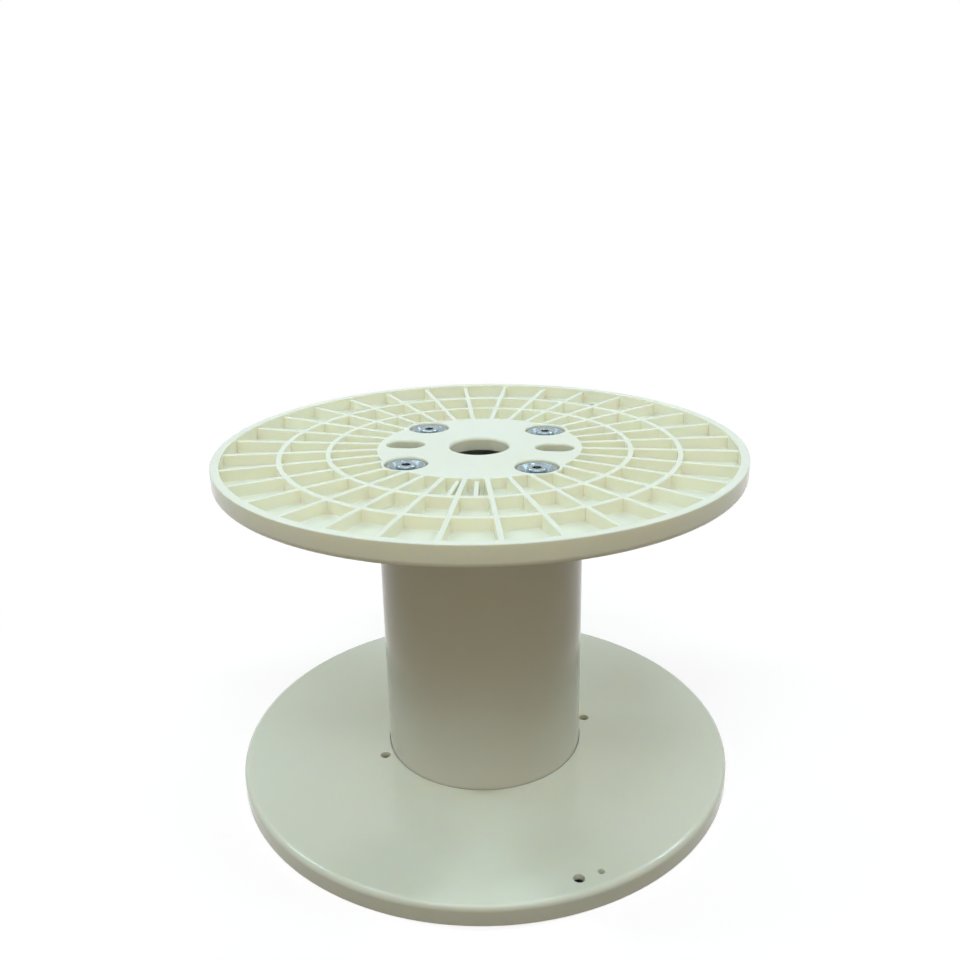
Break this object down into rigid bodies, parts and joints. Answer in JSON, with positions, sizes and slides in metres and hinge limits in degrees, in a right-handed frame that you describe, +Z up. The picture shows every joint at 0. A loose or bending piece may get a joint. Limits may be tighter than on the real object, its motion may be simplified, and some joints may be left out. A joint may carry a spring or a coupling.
{
  "type": "steel wire spool",
  "caption": "Empty moulded plastic spool for steel wire: round ribbed flanges held on a plain barrel by tie bolts with sunk washers, with a bore and drive slots.",
  "frame": {"origin": "on the floor, under the middle of the bore", "axes": "+Z up along the bore, +X through a drive slot, +Y square to both"},
  "size_m": [0.4999, 0.5, 0.34],
  "materials": {
    "flange_plastic": "ivory moulded plastic, glossy",
    "barrel_plastic": "ivory plastic tube, glossy",
    "zinc_steel": "bright zinc plate"
  },
  "bodies": {
    "root": {"flange_top": "flange_plastic", "flange_bottom": "flange_plastic", "barrel": "barrel_plastic", "tie_bolt_1": "zinc_steel", "tie_bolt_2": "zinc_steel", "tie_bolt_3": "zinc_steel", "tie_bolt_4": "zinc_steel", "washer_top_1": "zinc_steel", "washer_top_2": "zinc_steel", "washer_top_3": "zinc_steel", "washer_top_4": "zinc_steel", "washer_bottom_1": "zinc_steel", "washer_bottom_2": "zinc_steel", "washer_bottom_3": "zinc_steel", "washer_bottom_4": "zinc_steel", "nut_1": "zinc_steel", "nut_2": "zinc_steel", "nut_3": "zinc_steel", "nut_4": "zinc_steel"}
  },
  "joints": []
}
